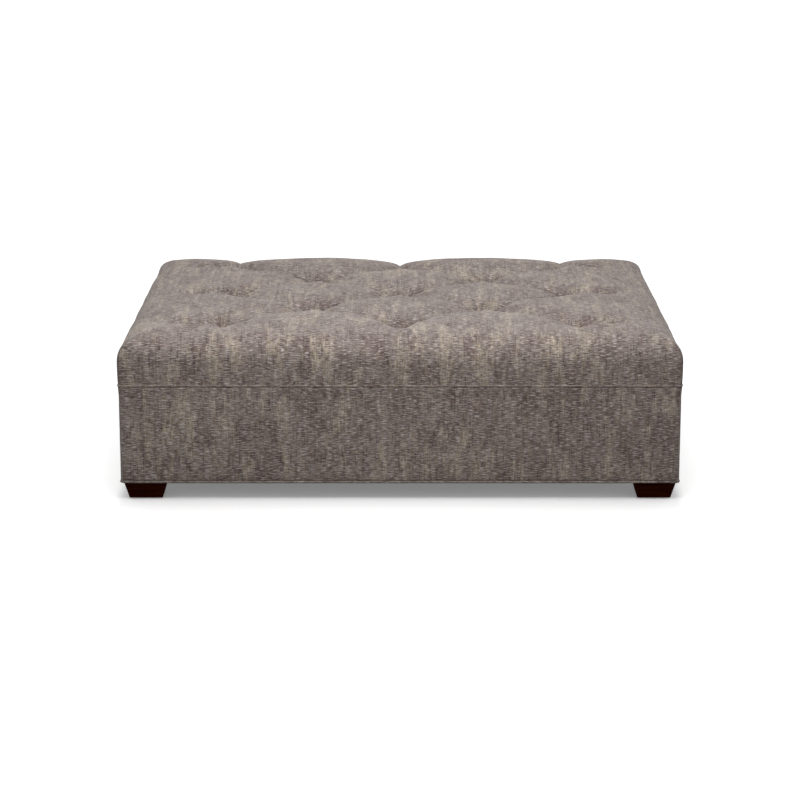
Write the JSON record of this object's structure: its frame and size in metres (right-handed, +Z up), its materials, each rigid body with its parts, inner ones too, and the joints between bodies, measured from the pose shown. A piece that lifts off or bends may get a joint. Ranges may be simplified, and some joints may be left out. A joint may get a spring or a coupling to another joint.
{
  "type": "ottoman coffee table",
  "caption": "Low rectangular upholstered ottoman coffee table with a diamond-tufted top, piped edges and short tapered wooden feet.",
  "frame": {"origin": "on the floor, under the middle of the ottoman", "axes": "+X to the right along the long side, +Y to the back, +Z up"},
  "size_m": [1.3976, 1.1186, 0.4281],
  "materials": {
    "chenille": "heathered taupe-grey chenille with fine cross slubs and paler upright streaks",
    "dark_wood": "espresso stained hardwood, satin",
    "frame_wood": "planed softwood",
    "plywood": "plywood",
    "foam": "upholstery foam",
    "fibre": "polyester fibre wrap",
    "dust_cloth": "black non-woven dust cloth",
    "card": "tack strip card",
    "twine": "waxed tufting twine",
    "zinc_steel": "zinc plated steel",
    "nylon": "nylon"
  },
  "bodies": {
    "root": {"back_rail": "frame_wood", "base_padding_back": "fibre", "base_padding_front": "fibre", "base_padding_left": "fibre", "base_padding_right": "fibre", "base_panel_back": "chenille", "base_panel_front": "chenille", "base_panel_left": "chenille", "base_panel_right": "chenille", "corner_post_back_left": "frame_wood", "corner_post_back_right": "frame_wood", "corner_post_front_left": "frame_wood", "corner_post_front_right": "frame_wood", "cross_rail_left": "frame_wood", "cross_rail_right": "frame_wood", "cross_rail_screws": "zinc_steel", "deck_board": "plywood", "deck_screws": "zinc_steel", "dust_cover": "dust_cloth", "dust_cover_staples": "zinc_steel", "fibre_wrap": "fibre", "foam_block": "foam", "foot_back_left": "dark_wood", "foot_back_right": "dark_wood", "foot_bolts": "zinc_steel", "foot_front_left": "dark_wood", "foot_front_right": "dark_wood", "foot_glides": "nylon", "foot_plate_back_left": "plywood", "foot_plate_back_right": "plywood", "foot_plate_front_left": "plywood", "foot_plate_front_right": "plywood", "foot_tee_nuts": "zinc_steel", "frame_screws": "zinc_steel", "front_rail": "frame_wood", "left_rail": "frame_wood", "lower_welt": "chenille", "plate_screws": "zinc_steel", "right_rail": "frame_wood", "tack_strips": "card", "top_cover": "chenille", "tuft_buttons": "chenille", "tuft_twines": "twine", "tuft_washers": "zinc_steel", "upper_welt": "chenille"}
  },
  "joints": []
}
